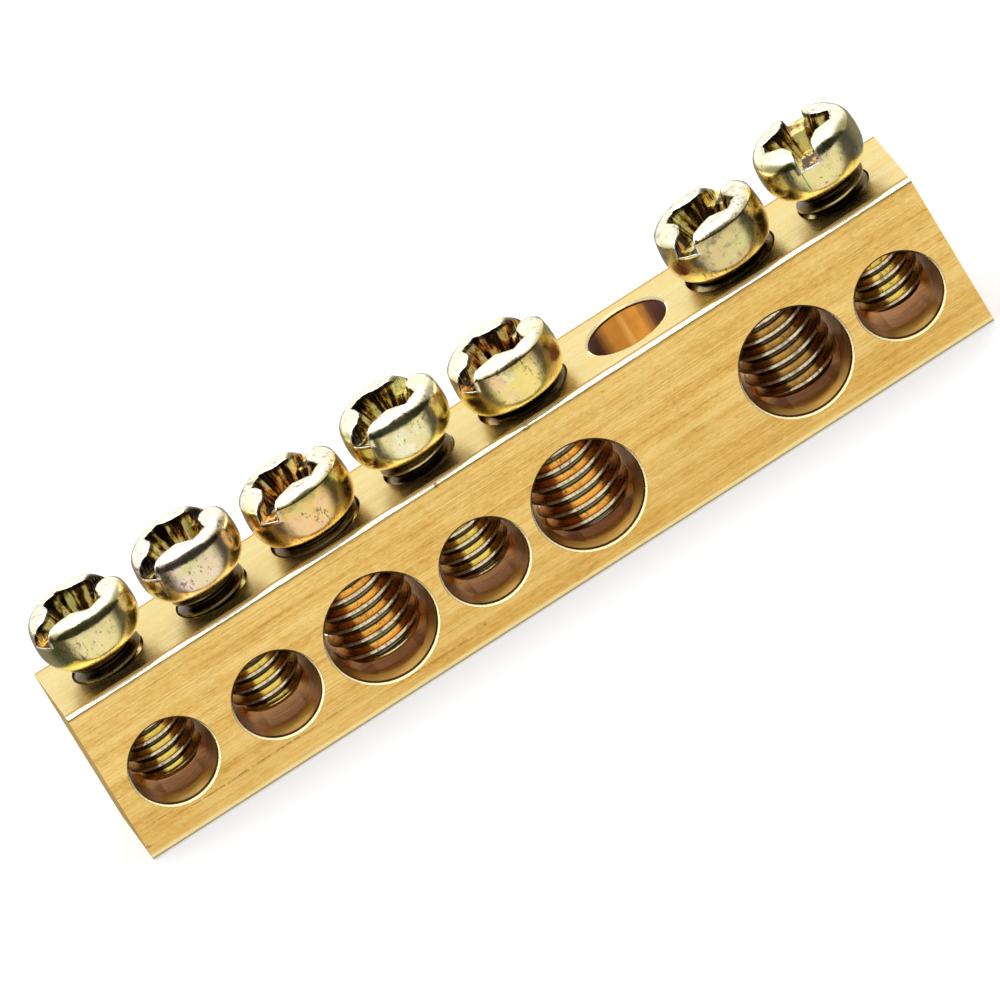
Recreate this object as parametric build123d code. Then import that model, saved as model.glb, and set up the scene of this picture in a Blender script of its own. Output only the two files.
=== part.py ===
from build123d import *
import os
from collections import namedtuple
from math import tan, radians

# Terminal busbar: a drawn brass bar with wire holes across it, a plain hole to fix it by,
# and a steel clamping screw standing over each wire hole. All lengths are in millimetres.
# X runs along the bar, the wires enter from -Y, and the screws are driven down along -Z.
# The origin is the middle of the face that the bar stands on.

# Bar stock
bar_depth = 6.5
bar_height = 9.0
bar_edge_radius = 0.3
end_margin = 3.35

# Stations along the bar, from left to right
stations = ["small", "small", "large", "small", "large", "fixing", "large", "small"]

# Holes in the bar
fixing_hole_diameter = 4.3
wire_hole_height = 3.95
large_wire_hole_diameter = 5.7
small_wire_hole_diameter = 4.5
hole_rim_chamfer = 0.12
thread_clearance = 0.05
screw_hole_floor = 0.25

# Screws: the shank is drawn at the outside diameter of its thread
large_thread_diameter = 4.85
small_thread_diameter = 3.85
shank_tip_chamfer = 0.35
large_tip_gap = 0.7
small_tip_gap = 0.8

# Heads: barrels that are widest at the belt and rounded under; the small ones are also well
# rounded over, while the large ones keep a plain side up to a crisp rim and a sloping shoulder
large_head_diameter = 5.56
small_head_diameter = 5.44
large_underside_diameter = 4.5
small_underside_diameter = 3.96
head_height = 2.88
belt_height = 1.3
crown_rise = 0.1
large_rim_inset = 0.12
small_rim_inset = 0.06
large_rim_height = 2.43
small_rim_height = 2.1
large_shoulder_run = 0.44
small_shoulder_run = 0.71
large_shoulder_radius = 1.2
small_shoulder_radius = 0.8
head_spacing = 0.44

# Drive: a slot across the head and a tapered cross, sunk deeper than the slot, with a lead-in
slot_width = 1.0
slot_depth = 0.95
cross_depth = 1.9
cross_reach = 1.9
cross_tip_width = 1.0
cross_throat = 0.85
cross_side_slope = 24.0
lead_in_depth = 0.15
lead_in_width = 0.2

# How far each screw stands out of the bar, under its head, and how its slot is turned
screw_rises = [1.0, 1.12, 0.48, 1.06, 0.4, None, 0.45, 1.2]
slot_angles = [27, 32, 47, 38, 34, None, 50, 80]

# Heads never touch, so the widest head sets the pitch of the stations
station_pitch = large_head_diameter + head_spacing
bar_length = station_pitch * (len(stations) - 1) + 2 * end_margin

HeadShape = namedtuple("HeadShape", "belt underside rim_inset rim_height shoulder_run shoulder_radius")
ScrewSize = namedtuple("ScrewSize", "thread head wire_hole tip_gap seat_rise")
seat_rise = {
    name: min(rise for kind, rise in zip(stations, screw_rises) if kind == name)
    for name in ("large", "small")
}
large_head = HeadShape(large_head_diameter / 2, large_underside_diameter / 2, large_rim_inset,
                       large_rim_height, large_shoulder_run, large_shoulder_radius)
small_head = HeadShape(small_head_diameter / 2, small_underside_diameter / 2, small_rim_inset,
                       small_rim_height, small_shoulder_run, small_shoulder_radius)
screw_sizes = {
    "large": ScrewSize(large_thread_diameter, large_head, large_wire_hole_diameter,
                       large_tip_gap, seat_rise["large"]),
    "small": ScrewSize(small_thread_diameter, small_head, small_wire_hole_diameter,
                       small_tip_gap, seat_rise["small"]),
}


def station_x(index):
    """Return the place of a station along the bar, from the bar's middle."""
    return end_margin + index * station_pitch - bar_length / 2


def wire_hole_floor(size):
    """Return the height of the lowest line of a wire hole."""
    return wire_hole_height - size.wire_hole / 2


def shank_length(size):
    """Return the length under the head that leaves the lowest screw its gap to the wire hole's floor."""
    return bar_height + size.seat_rise - wire_hole_floor(size) - size.tip_gap


def blank_bar():
    """Make the drawn bar, sawn square at both ends, with its four long edges rounded."""
    section = RectangleRounded(bar_depth, bar_height, bar_edge_radius)
    bar = extrude(Plane.YZ * section, amount=bar_length / 2, both=True)
    return Pos(0, 0, bar_height / 2) * bar


def wire_hole(x, size):
    """Make the cutter of a wire hole: right across the bar, with a broken edge at each mouth."""
    face = bar_depth / 2
    radius = size.wire_hole / 2
    profile = Polyline(
        (0, -face), (radius + hole_rim_chamfer, -face), (radius, hole_rim_chamfer - face),
        (radius, face - hole_rim_chamfer), (radius + hole_rim_chamfer, face), (0, face), close=True,
    )
    return Pos(x, 0, wire_hole_height) * revolve(make_face(profile), Axis.Y)


def screw_hole(x, size):
    """Make the cutter of a tapped hole: down through the wire hole, to just above its floor."""
    bottom = wire_hole_floor(size) + screw_hole_floor
    radius = size.thread / 2 + thread_clearance
    return Pos(x, 0, bottom) * extrude(Circle(radius), amount=bar_height - bottom)


def fixing_hole(x):
    """Make the cutter of the plain hole that the bar is fixed by, with a broken edge at both ends."""
    radius = fixing_hole_diameter / 2
    profile = Polyline(
        (0, 0), (radius + hole_rim_chamfer, 0), (radius, hole_rim_chamfer),
        (radius, bar_height - hole_rim_chamfer), (radius + hole_rim_chamfer, bar_height),
        (0, bar_height), close=True,
    )
    return Pos(x, 0, 0) * revolve(make_face(Plane.XZ * profile), Axis.Z)


def busbar():
    """Make the bar: every station is drilled either for a wire and its screw, or for the fixing."""
    bar = blank_bar()
    for index, kind in enumerate(stations):
        x = station_x(index)
        if kind == "fixing":
            bar -= fixing_hole(x)
        else:
            size = screw_sizes[kind]
            bar -= wire_hole(x, size)
            bar -= screw_hole(x, size)
    return bar


def head_blank(head):
    """Turn the barrel of the head: rounded under, widest at its belt, with a shoulder and a low crown."""
    rim = head.belt - head.rim_inset
    lower = EllipticalCenterArc(
        (head.underside, belt_height), head.belt - head.underside, belt_height,
        start_angle=270, arc_size=90)
    upper = TangentArc((head.belt, belt_height), (rim, head.rim_height), tangent=(0, 1))
    crown = TangentArc(
        (0, head_height), (rim - head.shoulder_run, head_height - crown_rise), tangent=(1, 0))
    shoulder = RadiusArc(crown @ 1, upper @ 1, head.shoulder_radius)
    base = Line((0, 0), (head.underside, 0))
    axis = Line((0, head_height), (0, 0))
    profile = make_face(Plane.XZ * Curve([base, lower, upper, shoulder, crown, axis]))
    return revolve(profile, Axis.Z)


def cross_outline(reach, tip_width, throat):
    """Draw a four-armed cross whose arms narrow from the throat to their tips."""
    arm = [(reach, -tip_width / 2), (reach, tip_width / 2), (throat, throat)]
    outline = Polyline(
        *[Vector(x, y).rotate(Axis.Z, quarter * 90) for quarter in range(4) for x, y in arm],
        close=True,
    )
    return make_face(outline)


def drive_recess(head):
    """Make the cutter of the drive: the slot from side to side, the tapered cross and its lead-in."""
    slot = Pos(0, 0, head_height - slot_depth) * extrude(
        Rectangle(2 * head.belt, slot_width), amount=slot_depth)
    taper = 1 - cross_depth * tan(radians(cross_side_slope)) / cross_reach
    mouth = cross_outline(cross_reach, cross_tip_width, cross_throat)
    floor = cross_outline(cross_reach * taper, cross_tip_width * taper, cross_throat * taper)
    cross = loft([Pos(0, 0, head_height - cross_depth) * floor, Pos(0, 0, head_height) * mouth], ruled=True)
    opening = cross_outline(
        cross_reach, cross_tip_width + 2 * lead_in_width, cross_throat + lead_in_width)
    lead_in = loft(
        [Pos(0, 0, head_height - lead_in_depth) * mouth, Pos(0, 0, head_height) * opening], ruled=True)
    return slot + cross + lead_in


def shank(size):
    """Make the shank under the head, with its end chamfered to lead the thread in."""
    length = shank_length(size)
    blank = Pos(0, 0, -length) * extrude(Circle(size.thread / 2), amount=length)
    return chamfer(blank.edges().sort_by(Axis.Z)[0], shank_tip_chamfer)


def terminal_screw(size, x, rise, slot_angle):
    """Make a clamping screw, turned in until its head stands the given rise above the bar."""
    head = head_blank(size.head) - drive_recess(size.head)
    screw = head + shank(size)
    return Pos(x, 0, bar_height + rise) * Rot(0, 0, slot_angle) * screw


def main():
    """Write each piece of the terminal busbar to its own file."""
    os.makedirs("parts", exist_ok=True)
    export_step(busbar(), "parts/busbar.step")
    number = 0
    for index, kind in enumerate(stations):
        if kind == "fixing":
            continue
        number += 1
        screw = terminal_screw(
            screw_sizes[kind], station_x(index), screw_rises[index], slot_angles[index])
        export_step(screw, f"parts/terminal_screw_{number}.step")


main()
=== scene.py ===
"""Dress the terminal busbar: a drawn brass bar and the seven clamping screws that stand in it.

Lengths are in millimetres in the classes and become metres when a mesh is made.
X runs along the bar, the wires enter from -Y and the screws are driven down along -Z.
"""

import logging
from dataclasses import dataclass, field
from enum import Enum
from math import atan2, cos, pi, radians, sin, tan
from typing import NamedTuple, Sequence

import bpy
import numpy as np
from mathutils import Matrix, Vector


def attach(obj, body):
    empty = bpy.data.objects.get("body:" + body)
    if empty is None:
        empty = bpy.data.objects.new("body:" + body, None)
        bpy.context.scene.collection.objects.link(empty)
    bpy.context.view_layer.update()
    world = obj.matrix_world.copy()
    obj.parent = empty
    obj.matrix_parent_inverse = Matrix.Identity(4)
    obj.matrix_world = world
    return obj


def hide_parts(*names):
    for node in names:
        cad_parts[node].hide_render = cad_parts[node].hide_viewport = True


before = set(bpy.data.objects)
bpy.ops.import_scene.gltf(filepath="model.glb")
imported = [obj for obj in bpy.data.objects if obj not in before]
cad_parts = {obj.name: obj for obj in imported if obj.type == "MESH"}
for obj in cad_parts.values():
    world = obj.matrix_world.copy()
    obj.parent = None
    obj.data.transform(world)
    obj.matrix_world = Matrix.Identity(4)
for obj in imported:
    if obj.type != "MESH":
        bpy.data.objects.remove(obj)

LOG = logging.getLogger("terminal_busbar")
MM = 0.001
WELDS_PER_MM = 1e5
LATTICE_SIZE = 4096
LATTICE_KEYS = np.array([73856093, 19349663, 83492791])
SEEDS_PER_SCREW = 100
TINY = 1e-6
SHIFT_SLANT = 0.37
GLOSS_OF_DIRT = 0.15

Colour = tuple[float, float, float]
Stops = Sequence[tuple[float, Colour]]
Socket = bpy.types.NodeSocket
Axes = tuple[Socket, Socket, Socket]


# Shared shapes and numbers


def smooth_step(low: float, high: float, value: np.ndarray) -> np.ndarray:
    """Rise smoothly from 0 at low to 1 at high."""
    share = np.clip((value - low) / (high - low), 0.0, 1.0)
    return share * share * (3.0 - 2.0 * share)


def soft_lower(first: np.ndarray, second: np.ndarray, blend: float) -> np.ndarray:
    """Take the lower of two heights, and round the edge where they cross.

    Args:
        first: Heights of the first surface.
        second: Heights of the second surface.
        blend: How near two heights are, in millimetres, before the edge starts to round.

    Returns:
        The lower height at each point.
    """
    near = np.clip(blend - np.abs(first - second), 0.0, None)
    return np.minimum(first, second) - near * near / (4.0 * blend)


def lattice_noise(points: np.ndarray, per_mm: float, seed: int) -> np.ndarray:
    """Return smooth noise from -1 to 1 that depends only on the place and the seed.

    Args:
        points: Places, one row each, in millimetres.
        per_mm: How many lumps there are to a millimetre.
        seed: Picks the pattern.

    Returns:
        One value for each place.
    """
    table = np.random.default_rng(seed).uniform(-1.0, 1.0, LATTICE_SIZE)
    scaled = points * per_mm
    cell = np.floor(scaled).astype(np.int64)
    share = scaled - cell
    share = share * share * (3.0 - 2.0 * share)
    total = np.zeros(len(points))
    for corner in range(8):
        step = np.array([corner & 1, corner >> 1 & 1, corner >> 2 & 1])
        key = (cell + step) * LATTICE_KEYS
        value = table[(key[:, 0] ^ key[:, 1] ^ key[:, 2]) & (LATTICE_SIZE - 1)]
        total += value * np.prod(np.where(step == 1, share, 1.0 - share), axis=1)
    return total


def tangent_arc(start: tuple[float, float], tangent: tuple[float, float],
                end: tuple[float, float], count: int) -> np.ndarray:
    """Sample the arc that leaves one point along a tangent and ends at another.

    Args:
        start: First point, as radius and height.
        tangent: Direction in which the arc leaves it.
        end: Last point.
        count: How many steps the arc is cut into.

    Returns:
        The points of the arc from start to end, one row each.
    """
    first, last = np.array(start), np.array(end)
    along = np.array(tangent) / np.hypot(*tangent)
    side = np.array([-along[1], along[0]])
    chord = last - first
    radius = chord @ chord / (2.0 * (chord @ side))
    centre = first + side * radius
    opening = atan2(*(first - centre)[::-1])
    turn = 2.0 * atan2(chord @ side, chord @ along)
    angles = opening + turn * np.linspace(0.0, 1.0, count + 1)
    return centre + abs(radius) * np.column_stack([np.cos(angles), np.sin(angles)])


def radius_arc(start: tuple[float, float], end: tuple[float, float], radius: float,
               count: int) -> np.ndarray:
    """Sample the short arc of a given radius that bulges to the left of its chord.

    Args:
        start: First point, as radius and height.
        end: Last point.
        radius: Radius of the arc.
        count: How many steps the arc is cut into.

    Returns:
        The points of the arc from start to end, one row each.
    """
    chord = np.array(end) - np.array(start)
    half = np.arcsin(0.5 * np.hypot(*chord) / radius)
    tangent = np.array([[cos(half), -sin(half)], [sin(half), cos(half)]]) @ chord
    return tangent_arc(start, tuple(tangent), end, count)


@dataclass
class MeshSheet:
    """Vertices, faces and named values at the vertices, gathered before a mesh is made."""

    points: np.ndarray
    faces: list[tuple[int, ...]]
    values: dict[str, np.ndarray] = field(default_factory=dict)

    def welded(self) -> "MeshSheet":
        """Join the vertices that lie at one place, and drop the faces that vanish by it.

        Returns:
            The sheet with its vertices joined.
        """
        keys = np.round(self.points * WELDS_PER_MM).astype(np.int64)
        _, first, index = np.unique(keys, axis=0, return_index=True, return_inverse=True)
        index = index.reshape(-1)
        faces = []
        for face in self.faces:
            ring = [int(index[corner]) for corner in face]
            ring = [v for k, v in enumerate(ring) if v != ring[k - 1]]
            if len(set(ring)) > 2:
                faces.append(tuple(ring))
        return MeshSheet(self.points[first], faces, {n: v[first] for n, v in self.values.items()})

    def to_object(self, name: str) -> bpy.types.Object:
        """Make a smooth mesh object of the sheet, in metres, and put it in the scene.

        Args:
            name: Name of the new piece.

        Returns:
            The new object.
        """
        mesh = bpy.data.meshes.new(name)
        mesh.from_pydata((self.points * MM).tolist(), [], self.faces)
        mesh.validate()
        mesh.polygons.foreach_set("use_smooth", [True] * len(mesh.polygons))
        for label, value in self.values.items():
            layer = mesh.attributes.new(label, "FLOAT", "POINT")
            layer.data.foreach_set("value", value.astype(np.float32))
        mesh.update()
        piece = bpy.data.objects.new(name, mesh)
        bpy.context.scene.collection.objects.link(piece)
        return piece


# Slopes, bands and grains


class Slope(NamedTuple):
    """A smooth change over a stretch of a value: from start at low to end at high."""

    low: float
    high: float
    start: float = 0.0
    end: float = 1.0


class Band(NamedTuple):
    """A stretch of a value, and the half width of its soft ends."""

    low: float
    high: float
    soft: float


@dataclass(frozen=True)
class Grain:
    """A noise pattern: how fine it is along each axis, its make-up, and how much of it shows."""

    per_mm: tuple[float, float, float]
    detail: float = 2.0
    roughness: float = 0.5
    shift: float = 0.0
    shows: Slope = Slope(0.0, 1.0)


# The bar's sizes


@dataclass(frozen=True)
class BarSizes:
    """The sizes of the bar and its holes, as its solid has them."""

    length: float = 48.7
    depth: float = 6.5
    height: float = 9.0
    pitch: float = 6.0
    first_x: float = -21.0
    wire_hole_height: float = 3.95
    small_hole: float = 4.5
    large_hole: float = 5.7
    fixing_hole: float = 4.3
    large_stations: tuple[int, ...] = (2, 4, 6)
    fixing_station: int = 5

    def station_x(self, station: float) -> float:
        """Return the place of a station along the bar."""
        return self.first_x + station * self.pitch

    def around(self, station: int, soft: float) -> Band:
        """Return the stretch of bar that belongs to a station."""
        return Band(self.station_x(station - 0.5), self.station_x(station + 0.5), soft)


# Finishes


class NodeSheet:
    """A material's node tree, with short calls for the nodes that the finishes use."""

    def __init__(self, name: str = "", tree: bpy.types.NodeTree | None = None) -> None:
        """Start an empty tree in a new material, or add to a tree that exists.

        Args:
            name: Name of a new material.
            tree: The tree to add to, or nothing for a new material.
        """
        if tree is not None:
            self.tree = tree
            return
        self.material = bpy.data.materials.new(name)
        self.material.use_nodes = True
        self.tree = self.material.node_tree
        self.tree.nodes.clear()
        place = self.tree.nodes.new("ShaderNodeTexCoord").outputs["Object"]
        self.place = self.vector("SCALE", place, scale=1.0 / MM)

    def node(self, kind: str, **settings: object) -> bpy.types.Node:
        """Add a node and set its properties.

        Args:
            kind: Blender's name of the node.
            settings: Its properties.

        Returns:
            The node.
        """
        made = self.tree.nodes.new(kind)
        for label, value in settings.items():
            setattr(made, label, value)
        return made

    def feed(self, socket: Socket, value: object) -> None:
        """Join a socket to another one, or set its own value.

        Args:
            socket: The socket that takes the value.
            value: Another socket, a number, a colour or a direction.
        """
        if isinstance(value, bpy.types.NodeSocket):
            self.tree.links.new(value, socket)
        elif isinstance(value, tuple) and len(value) == 3 and socket.type == "RGBA":
            socket.default_value = (*value, 1.0)
        else:
            socket.default_value = value

    def vector(self, operation: str, first: object, second: object = None,
               scale: float | None = None) -> Socket:
        """Add a vector sum and return its result.

        Args:
            operation: Blender's name of the sum.
            first: What it starts from.
            second: The other vector, if there is one.
            scale: Factor of a scaling.

        Returns:
            Its result.
        """
        made = self.node("ShaderNodeVectorMath", operation=operation)
        self.feed(made.inputs[0], first)
        if second is not None:
            self.feed(made.inputs[1], second)
        if scale is not None:
            made.inputs["Scale"].default_value = scale
        return made.outputs["Vector"]

    def sum(self, operation: str, first: object, second: object = 0.0) -> Socket:
        """Add a plain sum of one or two numbers and return its result.

        Args:
            operation: Blender's name of the sum.
            first: What it starts from.
            second: The other number, if there is one.

        Returns:
            Its result.
        """
        made = self.node("ShaderNodeMath", operation=operation)
        self.feed(made.inputs[0], first)
        self.feed(made.inputs[1], second)
        return made.outputs[0]

    def times(self, first: object, *others: object) -> Socket:
        """Multiply numbers.

        Args:
            first: The first number.
            others: The other numbers.

        Returns:
            Their product.
        """
        for other in others:
            first = self.sum("MULTIPLY", first, other)
        return first

    def plus(self, first: object, second: object) -> Socket:
        """Add two numbers."""
        return self.sum("ADD", first, second)

    def minus(self, first: object, second: object) -> Socket:
        """Take the second number from the first."""
        return self.sum("SUBTRACT", first, second)

    def most(self, first: object, second: object) -> Socket:
        """Return the larger of two numbers."""
        return self.sum("MAXIMUM", first, second)

    def size(self, value: Socket) -> Socket:
        """Return a number without its sign."""
        return self.sum("ABSOLUTE", value)

    def reach(self, first: Socket, second: Socket) -> Socket:
        """Return the length of two sides set square to each other."""
        return self.sum("SQRT", self.plus(self.times(first, first), self.times(second, second)))

    def axes(self, place: Socket) -> Axes:
        """Split a place into its three axes.

        Args:
            place: The place.

        Returns:
            The three axes.
        """
        made = self.node("ShaderNodeSeparateXYZ")
        self.feed(made.inputs[0], place)
        return made.outputs[0], made.outputs[1], made.outputs[2]

    def joined(self, x: object, y: object, z: object) -> Socket:
        """Join three numbers into a direction.

        Args:
            x: Its part along the bar.
            y: Its part across the bar.
            z: Its part upwards.

        Returns:
            The direction.
        """
        made = self.node("ShaderNodeCombineXYZ")
        for place, value in zip(made.inputs, (x, y, z)):
            self.feed(place, value)
        return made.outputs[0]

    def span(self, value: Socket, slope: Slope) -> Socket:
        """Carry a value smoothly over a slope, held at both ends.

        Args:
            value: The value.
            slope: The slope.

        Returns:
            The value on the slope.
        """
        made = self.node("ShaderNodeMapRange", interpolation_type="SMOOTHSTEP")
        for label, number in zip(("From Min", "From Max", "To Min", "To Max"), slope):
            made.inputs[label].default_value = number
        self.feed(made.inputs["Value"], value)
        return made.outputs["Result"]

    def window(self, value: Socket, band: Band) -> Socket:
        """Return 1 where a value lies in a band and 0 elsewhere, with soft ends.

        Args:
            value: The value.
            band: The stretch and its soft ends.

        Returns:
            The share, from 0 to 1.
        """
        rising = Slope(band.low - band.soft, band.low + band.soft)
        falling = Slope(band.high - band.soft, band.high + band.soft, 1.0, 0.0)
        return self.times(self.span(value, rising), self.span(value, falling))

    def noise(self, grain: Grain, shift: float = 0.0) -> Socket:
        """Add a noise pattern and return its value.

        Args:
            grain: The pattern.
            shift: How far the pattern is moved beside its own shift.

        Returns:
            The pattern's value, about 0.5 in the middle.
        """
        moved = shift + grain.shift
        spread = self.vector("MULTIPLY", self.place, grain.per_mm)
        made = self.node("ShaderNodeTexNoise")
        self.feed(made.inputs["Vector"], self.vector("ADD", spread, (moved, SHIFT_SLANT * moved, -moved)))
        made.inputs["Scale"].default_value = 1.0
        made.inputs["Detail"].default_value = grain.detail
        made.inputs["Roughness"].default_value = grain.roughness
        return made.outputs["Fac"]

    def specks(self, grain: Grain, shift: float = 0.0) -> Socket:
        """Return how much of a noise pattern shows at each place."""
        return self.span(self.noise(grain, shift), grain.shows)

    def ramp(self, value: Socket, stops: Stops) -> Socket:
        """Turn a value into a colour along a row of stops.

        Args:
            value: The value.
            stops: Places from 0 to 1 and their colours.

        Returns:
            The colour.
        """
        made = self.node("ShaderNodeValToRGB")
        band = made.color_ramp
        while len(band.elements) < len(stops):
            band.elements.new(0.5)
        for element, (at, colour) in zip(band.elements, stops):
            element.position = at
            element.color = (*colour, 1.0)
        self.feed(made.inputs["Fac"], value)
        return made.outputs["Color"]

    def mix(self, share: object, first: object, second: object) -> Socket:
        """Mix two colours by a share.

        Args:
            share: Share of the second colour.
            first: Colour at a share of 0.
            second: Colour at a share of 1.

        Returns:
            The mixed colour.
        """
        made = self.node("ShaderNodeMix", data_type="RGBA")
        self.feed(made.inputs[0], share)
        self.feed(made.inputs[6], first)
        self.feed(made.inputs[7], second)
        return made.outputs[2]

    def attribute(self, label: str) -> Socket:
        """Read a named value of the mesh."""
        return self.node("ShaderNodeAttribute", attribute_name=label).outputs["Fac"]

    def bump(self, height: Socket, depth: float, strength: float,
             normal: Socket | None = None) -> Socket:
        """Raise the surface by a height, with depth in millimetres, and return the normal.

        Args:
            height: Height of each place, from 0 to 1.
            depth: Depth in millimetres.
            strength: How strongly it shows.
            normal: A normal that is bent already.

        Returns:
            The bent normal.
        """
        made = self.node("ShaderNodeBump")
        made.inputs["Strength"].default_value = strength
        made.inputs["Distance"].default_value = depth * MM
        self.feed(made.inputs["Height"], height)
        if normal is not None:
            self.feed(made.inputs["Normal"], normal)
        return made.outputs["Normal"]

    def metal(self, colour: Socket, roughness: Socket, normal: Socket,
              metallic: Socket) -> bpy.types.Material:
        """Finish the tree with a metal surface and return the material.

        Args:
            colour: Colour of the surface.
            roughness: How dull its shine is, from 0 to 1.
            normal: The way it faces, with its bumps.
            metallic: Share of it that is bare metal.

        Returns:
            The material.
        """
        shader = self.node("ShaderNodeBsdfPrincipled")
        for label, value in (("Base Color", colour), ("Roughness", roughness), ("Metallic", metallic),
                             ("Specular IOR Level", GLOSS_OF_DIRT), ("Normal", normal)):
            self.feed(shader.inputs[label], value)
        end = self.node("ShaderNodeOutputMaterial")
        self.feed(end.inputs["Surface"], shader.outputs[0])
        return self.material


@dataclass(frozen=True)
class Mark:
    """A scratch or nick on the bar's front face, by its middle and half sizes in millimetres."""

    x: float
    z: float
    half_x: float
    half_z: float
    depth: float


@dataclass(frozen=True)
class DrawnBrass:
    """The bar's finish: bright brass with drawing lines along it and darker bored walls."""

    bar: BarSizes = BarSizes()

    # Colours of the outer faces
    light: Colour = (0.93, 0.67, 0.24)
    middle: Colour = (0.84, 0.53, 0.14)
    deep: Colour = (0.62, 0.33, 0.06)
    # The top face's colours are paler and less yellow: a painted reflection of the bright room above.
    top: Colour = (0.68, 0.53, 0.19)
    top_reflection_light: Colour = (0.76, 0.66, 0.32)
    # Painted highlight along the bar's foot.
    foot_highlight: Colour = (0.98, 0.84, 0.40)
    scratch: Colour = (0.30, 0.15, 0.04)
    # Painted shade lines and a painted highlight line for the rounded upper edges.
    edge_shade_brown: Colour = (0.50, 0.27, 0.05)
    edge_highlight: Colour = (1.0, 0.97, 0.88)

    # Colours of the holes
    bored: Colour = (0.78, 0.38, 0.08)
    bored_dark: Colour = (0.52, 0.21, 0.04)
    # Painted shade on the wire holes' upper walls, with painted reflection slivers.
    side_shade: Colour = (0.30, 0.12, 0.03)
    side_reflection: Colour = (0.58, 0.33, 0.12)
    # Painted light on the wire holes' floors near their mouths.
    mouth: Colour = (0.92, 0.54, 0.13)
    # Fixing hole wall: a painted highlight streak down the middle and painted shade towards its ends.
    plain_bore: Colour = (0.56, 0.23, 0.035)
    plain_streak_highlight: Colour = (0.74, 0.36, 0.085)
    plain_end_shade: Colour = (0.08, 0.03, 0.02)
    # Painted highlight on the holes' broken edges, and the painted shadow line just inside them.
    rim: Colour = (0.90, 0.76, 0.44)
    rim_shadow: Colour = (0.10, 0.05, 0.02)

    # Patterns
    drawing_lines: Grain = Grain((0.10, 15.0, 15.0), 3.0, 0.65, 3.1)
    line_weight: float = 0.30
    tone_parts: tuple[tuple[Grain, float], ...] = (
        (Grain((0.03, 1.3, 1.3), 3.0, 0.6), 0.26),
        (Grain((0.35, 0.7, 0.7), 4.0, 0.6, 7.7), 0.16),
        (Grain((3.0, 9.0, 9.0), 3.0, 0.75, 1.9), 0.28))
    long_streaks: Grain = Grain((0.22, 22.0, 22.0), 2.0, 0.5, 11.3, Slope(0.62, 0.72))
    streak_places: Grain = Grain((0.5, 0.9, 0.9), 2.0, 0.5, 5.5, Slope(0.46, 0.60))
    short_streaks: Grain = Grain((0.9, 26.0, 26.0), 1.0, 0.5, 31.0, Slope(0.68, 0.76, 0.0, 0.7))
    wobble: Grain = Grain((0.9, 0.2, 0.2), 2.0, 0.5, 15.0)
    breaks: Grain = Grain((5.0, 5.0, 9.0), 2.0, 0.6, 21.0, Slope(0.36, 0.52))
    edge_nicks: Grain = Grain((1.6, 0.3, 0.3), 3.0, 0.7, 33.0)
    edge_fade: Grain = Grain((0.35, 0.4, 0.4), 3.0, 0.6, 41.0, Slope(0.35, 0.60, 0.15, 1.0))
    turning_rings: Grain = Grain((0.6, 12.0, 0.6), 3.0, 0.6, 2.3)
    side_shade_streaks: Grain = Grain((0.7, 6.0, 0.7), 3.0, 0.6, 52.0)
    fixing_rows: Grain = Grain((3.0, 3.0, 0.25), 3.0, 0.6, 6.1)
    marks: tuple[Mark, ...] = (
        Mark(-17.4, 1.42, 5.6, 0.045, 0.95), Mark(-7.6, 0.92, 3.2, 0.035, 0.8),
        Mark(-23.2, 1.75, 1.1, 0.03, 0.8), Mark(-24.2, 0.85, 0.16, 0.10, 0.9),
        Mark(-4.62, 1.15, 0.07, 0.12, 0.9), Mark(9.15, 3.9, 0.55, 0.03, 0.6),
        Mark(8.9, 5.5, 0.03, 0.65, 0.45), Mark(6.17, 8.3, 0.16, 0.06, 0.7),
        Mark(21.9, 1.66, 0.42, 0.03, 0.6), Mark(2.1, 8.84, 0.26, 0.13, 1.0),
        Mark(-3.1, 8.84, 0.16, 0.13, 1.0), Mark(7.2, 7.0, 0.9, 0.03, 0.5),
        Mark(-19.6, 8.1, 1.6, 0.03, 0.45), Mark(13.6, 0.9, 2.2, 0.035, 0.5),
        Mark(23.6, 6.4, 0.35, 0.04, 0.5))

    # How strongly the patterns show, and how far they sway
    streak_share: float = 0.55
    mark_share: float = 0.85
    mark_fade: tuple[float, float] = (0.3, 1.4)
    line_bump: tuple[float, float] = (0.012, 0.5)
    mark_bump: tuple[float, float] = (0.03, -0.6)
    sway: float = 0.14
    fixing_sway: float = 0.4

    # Where the painted highlight line and the painted shade lines beside it lie on the rounded upper edges,
    # measured up and out from the middle of the edge
    highlight_line: Band = Band(-0.09, 0.18, 0.02)
    shade_line_above: Band = Band(0.20, 0.42, 0.03)
    shade_line_below: Band = Band(-0.22, -0.10, 0.03)
    rounding: Band = Band(-0.30, -0.08, 0.02)
    nick_reach: float = 0.10

    # Where the other parts of the bar lie: by height, by depth, by place along it, by how far
    # inside the bar they are, or by how far outside a hole's wall, which is broken 0.12 mm wide
    upper_part: Slope = Slope(8.3, 8.5)
    short_of_ends: Slope = Slope(24.30, 24.34, 1.0, 0.0)
    at_ends: Slope = Slope(24.30, 24.34)
    # The foot band is where the painted highlight along the lower edge lies.
    foot: Band = Band(0.10, 0.36, 0.05)
    foot_face: Slope = Slope(3.0, 3.1, 0.0, 0.7)
    lowest_part: Slope = Slope(0.0, 0.30, 0.7, 0.0)
    outer_skin: Slope = Slope(2.9, 3.0)
    front_skin: Slope = Slope(-3.1, -2.9, 1.0, 0.0)
    # Darker towards the foot of the bar.
    darker_foot: Slope = Slope(0.5, 6.0, 0.28, 0.0)
    inside_bar: Slope = Slope(0.955, 0.965, 1.0, 0.0)
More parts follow.
